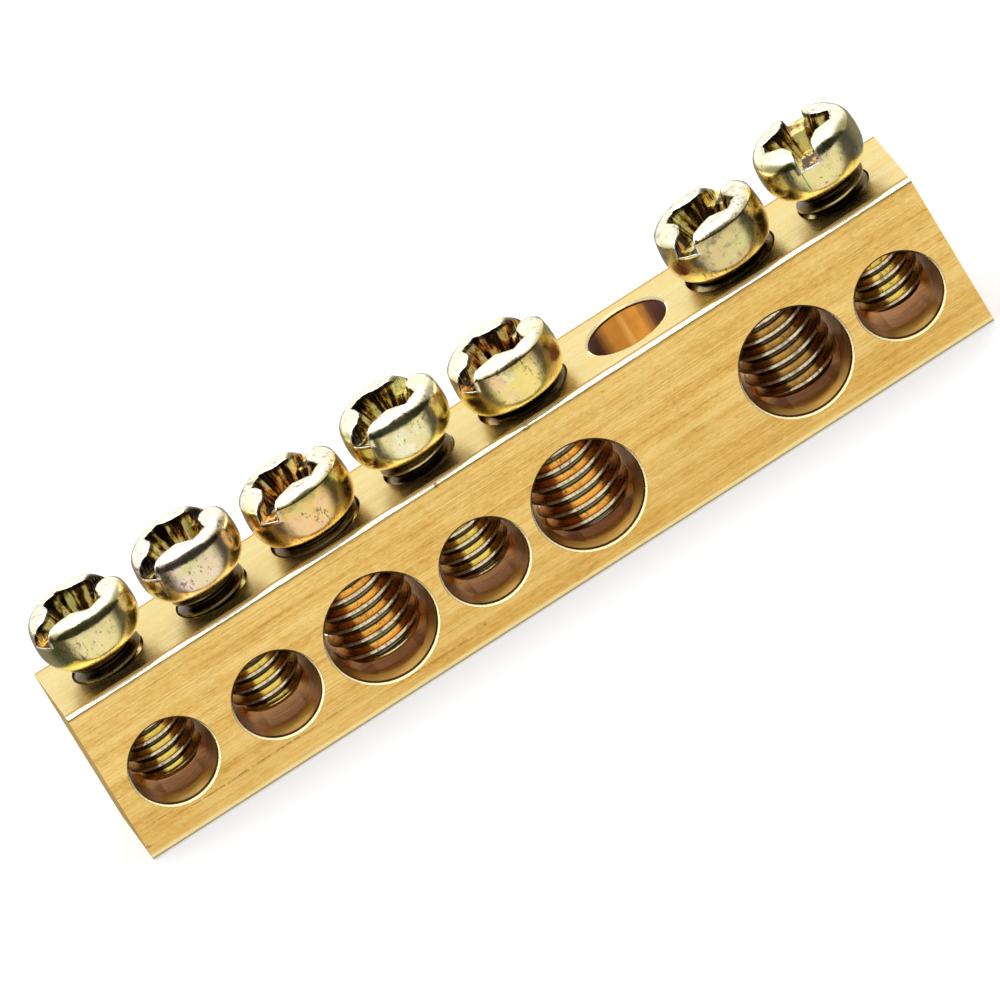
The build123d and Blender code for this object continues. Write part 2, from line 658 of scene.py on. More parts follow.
    # The ring holds the painted highlight on each hole's broken edge, the ring shadow the painted shadow
    # line inside it.
    ring: Band = Band(0.025, 0.11, 0.02)
    ring_shadow: Band = Band(-0.10, 0.02, 0.01)
    ring_face: Slope = Slope(3.03, 3.06)
    ring_mouth: Slope = Slope(2.90, 2.95)
    ring_top: Slope = Slope(8.78, 8.81)
    near_mouth: Slope = Slope(1.3, 2.6)
    bore_floor: Slope = Slope(1.7, 2.4, 1.0, 0.0)
    bore_shaded_sides: Slope = Slope(2.0, 3.1)
    fixing_reach: float = 2.4
    fixing_soft: float = 0.05
    station_soft: float = 0.002

    # Which way a face looks
    top_reflection_face: Slope = Slope(0.55, 0.95)
    end_face: Slope = Slope(0.6, 0.9)

    # How dull each part is, and how far its shine is turned up or out
    tone_roughness: Slope = Slope(0.35, 0.62, 0.36, 0.24)
    wall_roughness: float = 0.16
    sawn_roughness: float = 0.25
    wall_matte: float = 0.5
    fixing_shine: float = 0.4
    sawn_matte: float = 0.55
    edge_matte: float = 0.75
    edge_lift: float = 0.9
    fixing_lift: float = 1.3
    ring_lift: float = 4.7
    ring_lean: float = 3.7
    floor_lean: float = 0.8

    def outwardness(self, sheet: NodeSheet, axes: Axes) -> Socket:
        """Return 1 on the bar's outer faces and less the deeper a place is in the bar.

        Args:
            sheet: The tree that the nodes go into.
            axes: The place, axis by axis, in millimetres.

        Returns:
            The share, from 0 to 1.
        """
        raised = sheet.size(sheet.minus(axes[2], self.bar.height / 2.0))
        total = sheet.most(sheet.sum("DIVIDE", sheet.size(axes[1]), self.bar.depth / 2.0),
                           sheet.sum("DIVIDE", raised, self.bar.height / 2.0))
        return sheet.most(total, sheet.sum("DIVIDE", sheet.size(axes[0]), self.bar.length / 2.0))

    def past_wire_rim(self, sheet: NodeSheet, axes: Axes) -> Socket:
        """Return how far a place on the front or back lies outside its station's wire hole.

        Args:
            sheet: The tree that the nodes go into.
            axes: The place, axis by axis, in millimetres.

        Returns:
            The distance, in millimetres.
        """
        bar = self.bar
        turn = sheet.sum("FRACT", sheet.sum("DIVIDE", sheet.minus(axes[0], bar.station_x(-0.5)), bar.pitch))
        aside = sheet.minus(sheet.times(turn, bar.pitch), bar.pitch / 2.0)
        radius = sheet.reach(aside, sheet.minus(axes[2], bar.wire_hole_height))
        plain = sheet.window(axes[0], bar.around(bar.fixing_station, self.station_soft))
        size = sheet.plus(sheet.times(plain, bar.pitch), bar.small_hole / 2.0)
        for station in bar.large_stations:
            here = sheet.window(axes[0], bar.around(station, self.station_soft))
            size = sheet.plus(size, sheet.times(here, (bar.large_hole - bar.small_hole) / 2.0))
        return sheet.minus(radius, size)

    def past_fixing_rim(self, sheet: NodeSheet, axes: Axes) -> Socket:
        """Return how far a place on the top lies outside the fixing hole."""
        aside = sheet.minus(axes[0], self.bar.station_x(self.bar.fixing_station))
        return sheet.minus(sheet.reach(aside, axes[1]), self.bar.fixing_hole / 2.0)

    def scratched(self, sheet: NodeSheet, axes: Axes) -> Socket:
        """Gather the front face's own scratches and nicks, as a share from 0 to 1.

        Args:
            sheet: The tree that the nodes go into.
            axes: The place, axis by axis, in millimetres.

        Returns:
            The share of the marks.
        """
        sway = sheet.times(sheet.minus(sheet.noise(self.wobble), 0.5), self.sway)
        raised = sheet.plus(axes[2], sway)
        total: Socket | None = None
        for mark in self.marks:
            aside = sheet.sum("DIVIDE", sheet.minus(axes[0], mark.x), mark.half_x)
            above = sheet.sum("DIVIDE", sheet.minus(raised, mark.z), mark.half_z)
            squares = sheet.plus(sheet.times(aside, aside), sheet.times(above, above))
            one = sheet.span(squares, Slope(*self.mark_fade, mark.depth, 0.0))
            total = one if total is None else sheet.most(total, one)
        return sheet.times(total, sheet.span(axes[1], self.front_skin), sheet.specks(self.breaks))

    def tone(self, sheet: NodeSheet, lines: Socket) -> Socket:
        """Mix drawing lines, bands, clouds and grit into one tone.

        Args:
            sheet: The tree that the nodes go into.
            lines: The drawing lines.

        Returns:
            The tone, about 0.5 in the middle.
        """
        total = sheet.times(lines, self.line_weight)
        for grain, weight in self.tone_parts:
            total = sheet.plus(total, sheet.times(sheet.noise(grain), weight))
        return total

    def streaks(self, sheet: NodeSheet) -> Socket:
        """Scatter fine broken scratches along the bar, as a share from 0 to 1."""
        long_lines = sheet.times(sheet.specks(self.long_streaks), sheet.specks(self.streak_places))
        return sheet.most(long_lines, sheet.specks(self.short_streaks))

    def face_colour(self, sheet: NodeSheet, axes: Axes, facing: Axes, tone: Socket) -> Socket:
        """Colour the outer faces: deeper at the foot, and paler on top as a painted reflection of the bright
        room above.

        Args:
            sheet: The tree that the nodes go into.
            axes: The place, axis by axis, in millimetres.
            facing: The surface's normal, axis by axis.
            tone: The tone of the drawn face.

        Returns:
            The colour.
        """
        face = sheet.ramp(tone, [(0.38, self.deep), (0.48, self.middle), (0.58, self.light)])
        # Painted reflection: faces that look up take the paler colours.
        pale = sheet.ramp(tone, [(0.34, self.middle), (0.48, self.top), (0.62, self.top_reflection_light)])
        face = sheet.mix(sheet.span(axes[2], self.darker_foot), face, self.deep)
        return sheet.mix(sheet.span(facing[2], self.top_reflection_face), face, pale)

    def with_edges(self, sheet: NodeSheet, axes: Axes, face: Socket) -> tuple[Socket, Socket, Socket]:
        """Paint a highlight line along the rounded upper edges, painted shade lines beside it and a painted
        highlight band along the foot.

        Args:
            sheet: The tree that the nodes go into.
            axes: The place, axis by axis, in millimetres.
            face: Colour of the outer faces so far.

        Returns:
            The colour, the share of the painted highlight line, and the share of the dull parts.
        """
        width = sheet.size(axes[1])
        corner = self.bar.height - self.bar.depth / 2.0
        nicks = sheet.times(sheet.minus(sheet.noise(self.edge_nicks), 0.5), self.nick_reach)
        across = sheet.plus(sheet.minus(sheet.minus(axes[2], width), corner), nicks)
        here = sheet.times(sheet.span(axes[2], self.upper_part),
                           sheet.span(sheet.size(axes[0]), self.short_of_ends))
        # Painted highlight along the rounded upper edges, with painted shade lines above and below it.
        white = sheet.times(sheet.window(across, self.highlight_line), here)
        below = sheet.times(sheet.window(across, self.shade_line_below), sheet.specks(self.edge_fade))
        lines = sheet.times(sheet.most(sheet.window(across, self.shade_line_above), below), here)
        face = sheet.mix(sheet.times(lines, self.mark_share), face, self.edge_shade_brown)
        # Painted highlight band along the foot.
        foot = sheet.times(sheet.window(axes[2], self.foot), sheet.span(width, self.foot_face))
        face = sheet.mix(foot, face, self.foot_highlight)
        rounded = sheet.times(sheet.window(across, self.rounding), here)
        lowest = sheet.times(sheet.span(axes[2], self.lowest_part), sheet.span(width, self.outer_skin))
        matte = sheet.most(sheet.times(sheet.most(rounded, lines), self.edge_matte), lowest)
        return sheet.mix(white, face, self.edge_highlight), white, matte

    def with_rims(self, sheet: NodeSheet, axes: Axes, colour: Socket) -> tuple[Socket, Socket]:
        """Add a painted highlight on the broken edges of the holes and a painted shadow line inside each.

        Args:
            sheet: The tree that the nodes go into.
            axes: The place, axis by axis, in millimetres.
            colour: Colour of the bar so far.

        Returns:
            The colour, and the share of the painted highlight rings.
        """
        width = sheet.size(axes[1])
        on_top = sheet.span(axes[2], self.ring_top)
        bright: Socket | None = None
        for past, place, inside in (
                (self.past_wire_rim(sheet, axes), sheet.span(width, self.ring_face),
                 sheet.span(width, self.ring_mouth)),
                (self.past_fixing_rim(sheet, axes), on_top, on_top)):
            # Painted highlight ring and painted shadow line.
            ring = sheet.times(sheet.window(past, self.ring), place)
            dark = sheet.times(sheet.window(past, self.ring_shadow), inside)
            colour = sheet.mix(dark, sheet.mix(ring, colour, self.rim), self.rim_shadow)
            bright = ring if bright is None else sheet.most(bright, ring)
        return colour, bright

    def by_fixing_hole(self, sheet: NodeSheet, axes: Axes) -> Socket:
        """Return 1 over the length of bar that the fixing hole takes up.

        Args:
            sheet: The tree that the nodes go into.
            axes: The place, axis by axis, in millimetres.

        Returns:
            The share, from 0 to 1.
        """
        middle = self.bar.station_x(self.bar.fixing_station)
        band = Band(middle - self.fixing_reach, middle + self.fixing_reach, self.fixing_soft)
        return sheet.window(axes[0], band)

    def by_mouth(self, sheet: NodeSheet, axes: Axes) -> Socket:
        """Return 1 on the floors of the wire holes near their mouths, where painted light falls.

        Args:
            sheet: The tree that the nodes go into.
            axes: The place, axis by axis, in millimetres.

        Returns:
            The share, from 0 to 1.
        """
        return sheet.times(sheet.span(sheet.size(axes[1]), self.near_mouth),
                           sheet.span(axes[2], self.bore_floor),
                           sheet.minus(1.0, self.by_fixing_hole(sheet, axes)))

    def bore_colour(self, sheet: NodeSheet, axes: Axes) -> Socket:
        """Return the colour of the bored walls: brown in the wire holes, with painted shade, painted
        reflection slivers and painted light near the mouths, and orange in the fixing hole, with a painted
        highlight streak and painted shade at its ends.

        Args:
            sheet: The tree that the nodes go into.
            axes: The place, axis by axis, in millimetres.

        Returns:
            The colour.
        """
        bore = sheet.ramp(sheet.noise(self.turning_rings), [(0.35, self.bored_dark), (0.62, self.bored)])
        # Painted shade with painted reflection slivers on the upper walls.
        sides = sheet.ramp(sheet.noise(self.side_shade_streaks), [(0.40, self.side_shade), (0.70, self.side_reflection)])
        bore = sheet.mix(sheet.span(axes[2], self.bore_shaded_sides), bore, sides)
        # Painted light on the floors near the mouths.
        bore = sheet.mix(self.by_mouth(sheet, axes), bore, self.mouth)
        sway = sheet.times(sheet.minus(sheet.noise(self.fixing_rows), 0.5), self.fixing_sway)
        aside = sheet.plus(sheet.minus(axes[0], self.bar.station_x(self.bar.fixing_station)), sway)
        half = self.bar.fixing_hole / 2.0
        # Painted highlight streak down the middle of the fixing hole's wall, painted shade at its ends.
        plain = sheet.ramp(sheet.span(aside, Slope(-half, half)), [
            (0.06, self.plain_end_shade), (0.22, self.plain_bore), (0.44, self.plain_bore),
            (0.51, self.plain_streak_highlight), (0.58, self.plain_bore), (0.78, self.plain_bore),
            (0.94, self.plain_end_shade)])
        return sheet.mix(self.by_fixing_hole(sheet, axes), bore, plain)

    def material(self) -> bpy.types.Material:
        """Build the finish.

        Returns:
            The material.
        """
        sheet = NodeSheet("drawn_brass")
        axes = sheet.axes(sheet.place)
        facing = sheet.axes(sheet.node("ShaderNodeNewGeometry").outputs["Normal"])
        lines = sheet.noise(self.drawing_lines)
        tone = self.tone(sheet, lines)
        marks = sheet.most(sheet.times(self.streaks(sheet), self.streak_share), self.scratched(sheet, axes))
        face, white, worn = self.with_edges(sheet, axes, self.face_colour(sheet, axes, facing, tone))
        face = sheet.mix(sheet.times(marks, self.mark_share), face, self.scratch)
        walls = sheet.span(self.outwardness(sheet, axes), self.inside_bar)
        fixing = sheet.times(walls, self.by_fixing_hole(sheet, axes))
        sawn = sheet.times(sheet.span(sheet.size(facing[0]), self.end_face),
                           sheet.span(sheet.size(axes[0]), self.at_ends))
        colour, rings = self.with_rims(sheet, axes, sheet.mix(walls, face, self.bore_colour(sheet, axes)))
        rough = sheet.plus(sheet.span(tone, self.tone_roughness), sheet.times(walls, self.wall_roughness))
        rough = sheet.plus(rough, sheet.times(sawn, self.sawn_roughness))
        matte = sheet.minus(sheet.times(walls, self.wall_matte), sheet.times(fixing, self.fixing_shine))
        matte = sheet.most(sheet.most(matte, sheet.times(sawn, self.sawn_matte)), worn)
        normal = sheet.bump(marks, *self.mark_bump, sheet.bump(lines, *self.line_bump))
        upward = sheet.plus(sheet.times(white, self.edge_lift), sheet.times(rings, self.ring_lift))
        upward = sheet.plus(upward, sheet.times(fixing, self.fixing_lift))
        outward = sheet.plus(sheet.times(walls, self.by_mouth(sheet, axes), self.floor_lean),
                             sheet.times(rings, self.ring_lean))
        turned = sheet.joined(0.0, sheet.times(sheet.sum("SIGN", axes[1]), outward), upward)
        normal = sheet.vector("NORMALIZE", sheet.vector("ADD", normal, turned))
        return sheet.metal(colour, rough, normal, sheet.minus(1.0, matte))


@dataclass(frozen=True)
class PassivatedSteel:
    """A screw's finish: zinc with a yellow film that drifts to pink, green and brown."""

    name: str

    # Colours of the head
    film: Colour = (0.85, 0.73, 0.32)
    pale: Colour = (0.93, 0.87, 0.58)
    blush: Colour = (0.92, 0.68, 0.52)
    tinge: Colour = (0.68, 0.68, 0.26)
    # Painted highlight on the crown, and painted reflection of the brass under the head.
    crown_highlight: Colour = (0.95, 0.92, 0.80)
    under_reflection: Colour = (0.86, 0.72, 0.50)
    # Rubbed edges of the drive: partly bare metal, partly a painted highlight.
    rubbed_highlight: Colour = (0.96, 0.94, 0.86)
    # Dirt in pits and stains, and painted shade in the drive's recess.
    grime_and_shade: Colour = (0.055, 0.040, 0.025)
    dull: Colour = (0.34, 0.29, 0.17)

    # Colours of the drive's recess
    # Painted shade in the drive's recess.
    recess_shade: Colour = (0.22, 0.12, 0.03)
    green: Colour = (0.62, 0.62, 0.12)
    amber: Colour = (0.80, 0.40, 0.07)
    bright: Colour = (0.95, 0.86, 0.34)

    # Colours of the thread: a pale crest that is a painted highlight, painted shade at the crest's foot and
    # in the root, and painted shade on its part just under the head
    crest: Colour = (0.88, 0.79, 0.55)
    tick: Colour = (0.24, 0.19, 0.10)
    crest_shade_line: Colour = (0.16, 0.06, 0.03)
    low_flank: Colour = (0.95, 0.74, 0.26)
    high_flank: Colour = (1.0, 0.92, 0.44)
    root_shade: Colour = (0.10, 0.06, 0.03)
    shaded_crest: Colour = (0.78, 0.62, 0.26)
    shaded_flank: Colour = (0.12, 0.08, 0.03)
    shaded_valley: Colour = (0.07, 0.05, 0.03)

    # What differs from screw to screw
    blush_share: float = 0.45
    dull_share: float = 0.25
    shift: float = 0.0

    # Patterns
    drift: Grain = Grain((0.55, 0.55, 0.55), 3.0, 0.55)
    blushes: Grain = Grain((0.8, 0.8, 0.8), 3.0, 0.6, 9.0)
    patches: Grain = Grain((1.3, 1.3, 0.7), 3.0, 0.6, 14.0, Slope(0.38, 0.64, 0.05, 0.65))
    ticks: Grain = Grain((7.0, 7.0, 2.0), 2.0, 0.6, 17.0, Slope(0.50, 0.58, 0.0, 0.4))
    pits: Grain = Grain((4.5, 4.5, 4.5), 2.0, 0.6, 4.0, Slope(0.66, 0.72))
    dirt: Grain = Grain((1.6, 1.6, 1.6), 4.0, 0.7, 6.0)
    zones: Grain = Grain((0.7, 0.7, 0.7), 2.0, 0.5, 26.0, Slope(0.50, 0.60))
    nicks: Grain = Grain((8.0, 8.0, 2.2), 2.0, 0.6, 29.0, Slope(0.58, 0.66, 0.0, 0.75))
    stains: Grain = Grain((2.4, 2.4, 2.4), 4.0, 0.7, 37.0, Slope(0.56, 0.64, 0.0, 0.6))

    # Which way a face looks, by its normal's rise
    crown_highlight_face: Slope = Slope(0.5, 0.85, 0.0, 0.6)
    under_reflection_face: Slope = Slope(-0.7, -0.2, 0.6, 0.0)

    # Depth in the recess, where 1 is its floor
    recess_start: Slope = Slope(0.04, 0.12)
    # Painted shade line just inside the recess's mouth.
    recess_shade_line: Band = Band(0.06, 0.17, 0.025)
    recess_matte: Slope = Slope(0.08, 0.26)
    worn_depth: Slope = Slope(0.03, 0.08, 0.85, 0.0)
    worn_edge: Slope = Slope(0.2, 0.8)
    flute_share: Slope = Slope(-0.8, 0.9)
    streak_matte: Slope = Slope(0.5, 0.9, 0.0, 0.7)

    # Depth in the thread, where 0.02 is its crest and 1 its root
    thread_start: Slope = Slope(0.0, 0.015)
    flank_start: Slope = Slope(0.13, 0.18)
    crest_band: Band = Band(0.01, 0.18, 0.008)

    # How strongly the parts show
    shade_line_share: float = 0.8
    flute_weight: float = 0.5
    pit_share: float = 0.8
    worn_roughness: float = 0.2
    dirt_roughness: Slope = Slope(0.3, 0.75, 0.15, 0.30)
    dirt_bump: tuple[float, float] = (0.03, 0.45)
    pit_bump: tuple[float, float] = (0.03, -0.7)
    crest_matte: float = 0.15
    crest_upright: float = 0.9

    def film_colour(self, sheet: NodeSheet) -> Socket:
        """Colour the head: the film drifts, the crown takes a painted white highlight and the underside a
        painted tan reflection of the brass below.

        Args:
            sheet: The tree that the nodes go into.

        Returns:
            The colour.
        """
        upward = sheet.axes(sheet.node("ShaderNodeNewGeometry").outputs["Normal"])[2]
        film = sheet.ramp(sheet.noise(self.drift, self.shift), [
            (0.34, self.tinge), (0.46, self.film), (0.58, self.film), (0.70, self.pale)])
        blushing = Slope(0.62 - self.blush_share * 0.3, 0.66, 0.0, min(1.0, self.blush_share * 2.0))
        film = sheet.mix(sheet.span(sheet.noise(self.blushes, self.shift), blushing), film, self.blush)
        # Painted highlight where the head looks up, painted reflection where it looks down.
        film = sheet.mix(sheet.span(upward, self.crown_highlight_face), film, self.crown_highlight)
        return sheet.mix(sheet.span(upward, self.under_reflection_face), film, self.under_reflection)

    def recess_colour(self, sheet: NodeSheet, film: Socket, recess: Socket, streaks: Socket) -> Socket:
        """Colour the drive's recess: streaks down its walls, whose darkest stops are painted shade, under a
        painted shade line near its mouth.

        Args:
            sheet: The tree that the nodes go into.
            film: Colour of the head outside the recess.
            recess: Depth in the recess, from 0 to 1.
            streaks: Tone of the streaks down its walls.

        Returns:
            The colour.
        """
        # The darkest stops are painted shade in the recess.
        walls = sheet.ramp(streaks, [
            (0.38, self.grime_and_shade), (0.50, self.recess_shade), (0.60, self.amber),
            (0.74, self.green), (0.88, self.bright)])
        inside = sheet.mix(sheet.span(recess, self.recess_start), film, walls)
        # Painted shade line just inside the mouth.
        line = sheet.times(sheet.window(recess, self.recess_shade_line), self.shade_line_share)
        return sheet.mix(line, inside, self.grime_and_shade)

    def thread_colour(self, sheet: NodeSheet, root: Socket) -> Socket:
        """Colour the thread from crest to root, with a painted highlight on the crest, painted shade at its
        foot and in the root, and painted shade just under the head.

        Args:
            sheet: The tree that the nodes go into.
            root: Depth in the thread, from 0 to 1.

        Returns:
            The colour.
        """
        # Painted highlight on the crest.
        crest = sheet.mix(sheet.specks(self.ticks, self.shift), self.crest, self.tick)
        # Painted shade at the crest's foot and in the root.
        thread = sheet.ramp(root, [
            (0.20, self.high_flank), (0.28, self.crest_shade_line), (0.36, self.low_flank), (0.60, self.low_flank),
            (0.72, self.high_flank), (0.92, self.high_flank), (0.98, self.root_shade)])
        thread = sheet.mix(sheet.span(root, self.flank_start), crest, thread)
        shaded = sheet.ramp(root, [
            (0.08, self.shaded_crest), (0.20, self.shaded_flank), (0.90, self.shaded_valley)])
        return sheet.mix(sheet.attribute("shade"), thread, shaded)

    def stained(self, sheet: NodeSheet, steel: Socket, pits: Socket, dirt: Socket) -> Socket:
        """Lay pits, nicks, stains and dull patches over a colour.

        Args:
            sheet: The tree that the nodes go into.
            steel: Colour of the screw so far.
            pits: Share of the pits.
            dirt: Pattern of the dirt.

        Returns:
            The colour.
        """
        zones = sheet.specks(self.zones, self.shift)
        spots = sheet.most(sheet.times(sheet.specks(self.nicks, self.shift), zones),
                           sheet.times(sheet.specks(self.stains, self.shift), zones))
        steel = sheet.mix(sheet.most(sheet.times(pits, self.pit_share), spots), steel, self.grime_and_shade)
        dulled = Slope(0.66 - self.dull_share * 0.3, 0.74, 0.0, self.dull_share * 2.0)
        return sheet.mix(sheet.span(dirt, dulled), steel, self.dull)

    def material(self) -> bpy.types.Material:
        """Build the finish.

        Returns:
            The material.
        """
        sheet = NodeSheet(self.name)
        recess, root = sheet.attribute("recess"), sheet.attribute("root")
        flutes = sheet.times(sheet.span(sheet.attribute("flute"), self.flute_share), self.flute_weight)
        streaks = sheet.plus(flutes, sheet.specks(self.patches, self.shift))
        colour = self.recess_colour(sheet, self.film_colour(sheet), recess, streaks)
        # Rubbed edges of the drive, partly bare metal and partly a painted highlight.
        worn = sheet.times(sheet.span(sheet.attribute("edge"), self.worn_edge),
                           sheet.span(recess, self.worn_depth))
        colour = sheet.mix(worn, colour, self.rubbed_highlight)
        colour = sheet.mix(sheet.span(root, self.thread_start), colour, self.thread_colour(sheet, root))
        pits, dirt = sheet.specks(self.pits, self.shift), sheet.noise(self.dirt, self.shift)
        colour = self.stained(sheet, colour, pits, dirt)
        roughness = sheet.plus(sheet.span(dirt, self.dirt_roughness), sheet.times(worn, self.worn_roughness))
        normal = sheet.bump(pits, *self.pit_bump, sheet.bump(dirt, *self.dirt_bump))
        crests = sheet.window(root, self.crest_band)
        flatten = sheet.joined(1.0, 1.0, sheet.minus(1.0, sheet.times(crests, self.crest_upright)))
        normal = sheet.vector("NORMALIZE", sheet.vector("MULTIPLY", normal, flatten))
        matte = sheet.times(sheet.span(recess, self.recess_matte), sheet.span(streaks, self.streak_matte))
        matte = sheet.most(matte, sheet.times(crests, self.crest_matte))
        return sheet.metal(colour, roughness, normal, sheet.minus(1.0, matte))


# Screws


@dataclass(frozen=True)
class ScrewSizes:
    """What differs between the two sizes of clamping screw."""

    thread: float
    pitch: float
    head: float
    underside: float
    length: float
    rim_inset: float
    rim_height: float
    shoulder_run: float
    shoulder_radius: float
    depth_per_pitch: float = 0.6134

    @property
    def thread_depth(self) -> float:
        """Depth of the thread, from crest to root."""
        return self.depth_per_pitch * self.pitch


class ScrewKind(Enum):
    """The two sizes of clamping screw."""

    LARGE = ScrewSizes(thread=4.85, pitch=0.8, head=5.56, underside=4.5, length=7.6, rim_inset=0.12,
                       rim_height=2.43, shoulder_run=0.44, shoulder_radius=1.2)
    SMALL = ScrewSizes(thread=3.85, pitch=0.7, head=5.44, underside=3.96, length=7.5, rim_inset=0.06,
                       rim_height=2.1, shoulder_run=0.71, shoulder_radius=0.8)


@dataclass(frozen=True)
class DriveForm:
    """The drive: a slot across the head and a tapered cross sunk deeper than the slot."""

    slot_half: float = 0.5
    slot_flare: float = 0.05
    slot_depth: float = 0.95
    cross_depth: float = 1.9
    cross_reach: float = 1.9
    cross_tip_half: float = 0.5
    cross_throat: float = 0.93
    side_slope: float = 24.0
    tip_lip: float = 0.05
    throat_lip: float = 0.15
    lip: float = 0.05
    flute_depth: float = 0.035
    dish_depth: float = 0.10
    dish_run: float = 0.30
    flute_waves: tuple[tuple[int, float], ...] = ((5, 0.5), (11, 0.6), (19, 0.7), (31, 0.5))
    flute_top: float = 1.3
    flute_start: float = 0.10
    throat_turn: tuple[float, float] = (0.55, 0.95)
    flare_run: tuple[float, float] = (1.6, 2.7)
    worn_depth: float = 0.03
    worn_width: float = 0.05
    rolled_run: tuple[float, float] = (1.2, 2.3)
    rolled_depth: float = 0.34
    rolled_width: float = 0.25
    burr_run: tuple[float, float] = (1.9, 2.3)
    burr_height: float = 0.08
    burr_width: float = 0.12

    def flutes(self, angles: np.ndarray, seed: int) -> np.ndarray:
        """Return the ridges left down the cross's walls, from -1 to 1, by the angle.

        Args:
            angles: Angle of each place about the screw's axis.
            seed: Picks the pattern.

        Returns:
            The ridges, from -1 to 1.
        """
        rng = np.random.default_rng(seed)
        total = np.zeros_like(angles)
        for waves, weight in self.flute_waves:
            total += weight * np.sin(waves * angles + rng.uniform(0.0, 2.0 * pi))
        return np.clip(total / self.flute_top, -1.0, 1.0)

    def cross_gauge(self, along: np.ndarray, aside: np.ndarray) -> np.ndarray:
        """Return 0 in the middle of the cross and 1 on the outline of its mouth.

        Args:
            along: Distance along the nearest arm.
            aside: Distance from the arm's middle.

        Returns:
            The gauge at each place.
        """
        lean = self.cross_throat - self.cross_tip_half
        run = self.cross_reach - self.cross_throat
        side = (lean * along + run * aside) / (self.cross_throat * (self.cross_reach - self.cross_tip_half))
        return np.maximum(along / self.cross_reach, side)

    def dished(self, x: np.ndarray, y: np.ndarray) -> np.ndarray:
        """Return how far the crown is worn down beside the cross's mouth.

        Args:
            x: Places along the slot.
            y: Places across the slot.

        Returns:
            The depth in millimetres.
        """
        gauge = self.cross_gauge(np.maximum(np.abs(x), np.abs(y)), np.minimum(np.abs(x), np.abs(y)))
        outside = np.clip(gauge - 1.0, 0.0, None) * self.cross_reach
        return self.dish_depth * np.exp(-outside / self.dish_run)

    def cross_cut(self, x: np.ndarray, y: np.ndarray, flute: np.ndarray) -> np.ndarray:
        """Return how deep the cross is cut at each place, below the top of the crown.

        Args:
            x: Places along the slot.
            y: Places across the slot.
            flute: The ridges at each place, from -1 to 1.

        Returns:
            The depth in millimetres.
        """
        along = np.maximum(np.abs(x), np.abs(y))
        aside = np.minimum(np.abs(x), np.abs(y))
        gauge = self.cross_gauge(along, aside)
        gauge = gauge + self.flute_depth * flute * smooth_step(0.0, self.flute_start, 1.0 - gauge)
        inside = (1.0 - gauge) * self.cross_reach
        corner = smooth_step(*self.throat_turn, aside / np.maximum(along, TINY))
        lip = self.tip_lip + (self.throat_lip - self.tip_lip) * corner
        fall = 0.5 * (inside + np.sqrt(inside * inside + lip * lip)) / tan(radians(self.side_slope))
        return np.minimum(fall, self.cross_depth)

    def slot_wall(self, x: np.ndarray) -> np.ndarray:
        """Return how far the slot's walls stand from its middle: it flares towards its ends."""
        return self.slot_half + self.slot_flare * smooth_step(*self.flare_run, np.abs(x))

    def slot_worn(self, x: np.ndarray, y: np.ndarray, rolled: float) -> np.ndarray:
        """Return how far the corners beside the slot are rolled down, most of all at one end.

        Args:
            x: Places along the slot.
            y: Places across the slot.
            rolled: How much of the rolling there is, from 0 to 1.

        Returns:
            The depth in millimetres.
        """
        outside = np.clip(np.abs(y) - self.slot_wall(x), 0.0, None)
        end = rolled * smooth_step(*self.rolled_run, x)
        width = self.worn_width + self.rolled_width * end
        return (self.worn_depth + self.rolled_depth * end) * np.exp(-outside / width)

    def burr(self, x: np.ndarray, y: np.ndarray, height: np.ndarray, floor: float) -> np.ndarray:
        """Return how far the burr round the slot's other end stands out of the head's side.

        Args:
            x: Places along the slot.
            y: Places across the slot.
            height: Heights of the places.
            floor: Height of the slot's floor.

        Returns:
            The height in millimetres.
        """
        outside = np.maximum(np.abs(y) - self.slot_wall(x), floor - height)
        fall = np.exp(-(outside / self.burr_width) ** 2)
        return self.burr_height * smooth_step(*self.burr_run, -x) * fall

    def slot_cut(self, x: np.ndarray, y: np.ndarray) -> np.ndarray:
        """Return how deep the slot is cut at each place, or less than nothing beside it."""
        return np.where(np.abs(y) < self.slot_wall(x), self.slot_depth, -1.0)


@dataclass(frozen=True)
class HeadForm:
    """The barrel of the head: rounded under, widest at its belt, with a shoulder and a crown."""

    height: float = 2.88
    belt_height: float = 1.3
    crown_rise: float = 0.1
    first_radius: float = 0.02
    cross_radius: float = 0.8
    middle_rows: int = 12
    crown_rows: int = 44
    shoulder_rows: int = 18
    upper_rows: int = 20
    lower_rows: int = 15

    def profile(self, sizes: ScrewSizes) -> np.ndarray:
        """Sample the profile from the crown's middle to the underside, as radius and height.

        Args:
            sizes: Sizes of the screw.

        Returns:
            The points, one row each.
        """
        belt = sizes.head / 2.0
        rim = belt - sizes.rim_inset
        edge = rim - sizes.shoulder_run
        bow = (edge * edge + self.crown_rise ** 2) / (2.0 * self.crown_rise)
        radii = np.concatenate([np.linspace(self.first_radius, self.cross_radius, self.middle_rows),
                                np.linspace(self.cross_radius, edge, self.crown_rows)[1:]])
        crown = np.column_stack([radii, self.height - bow + np.sqrt(bow * bow - radii * radii)])
        shoulder = radius_arc((edge, self.height - self.crown_rise), (rim, sizes.rim_height),
                              sizes.shoulder_radius, self.shoulder_rows)
        upper = tangent_arc((belt, self.belt_height), (0.0, 1.0), (rim, sizes.rim_height),
                            self.upper_rows)[::-1]
        turn = np.linspace(0.0, pi / 2.0, self.lower_rows)[1:]
        under = sizes.underside / 2.0
        lower = np.column_stack([under + (belt - under) * np.cos(turn),
                                 self.belt_height * (1.0 - np.sin(turn))])
        return np.vstack([crown, shoulder[1:], upper[1:], lower])


def named_values(**given: np.ndarray) -> dict[str, np.ndarray]:
    """Name the values that the finish reads, with nothing for those that aren't given."""
    blank = np.zeros_like(next(iter(given.values())))
    return {label: given.get(label, blank) for label in ("recess", "flute", "edge", "root", "shade")}


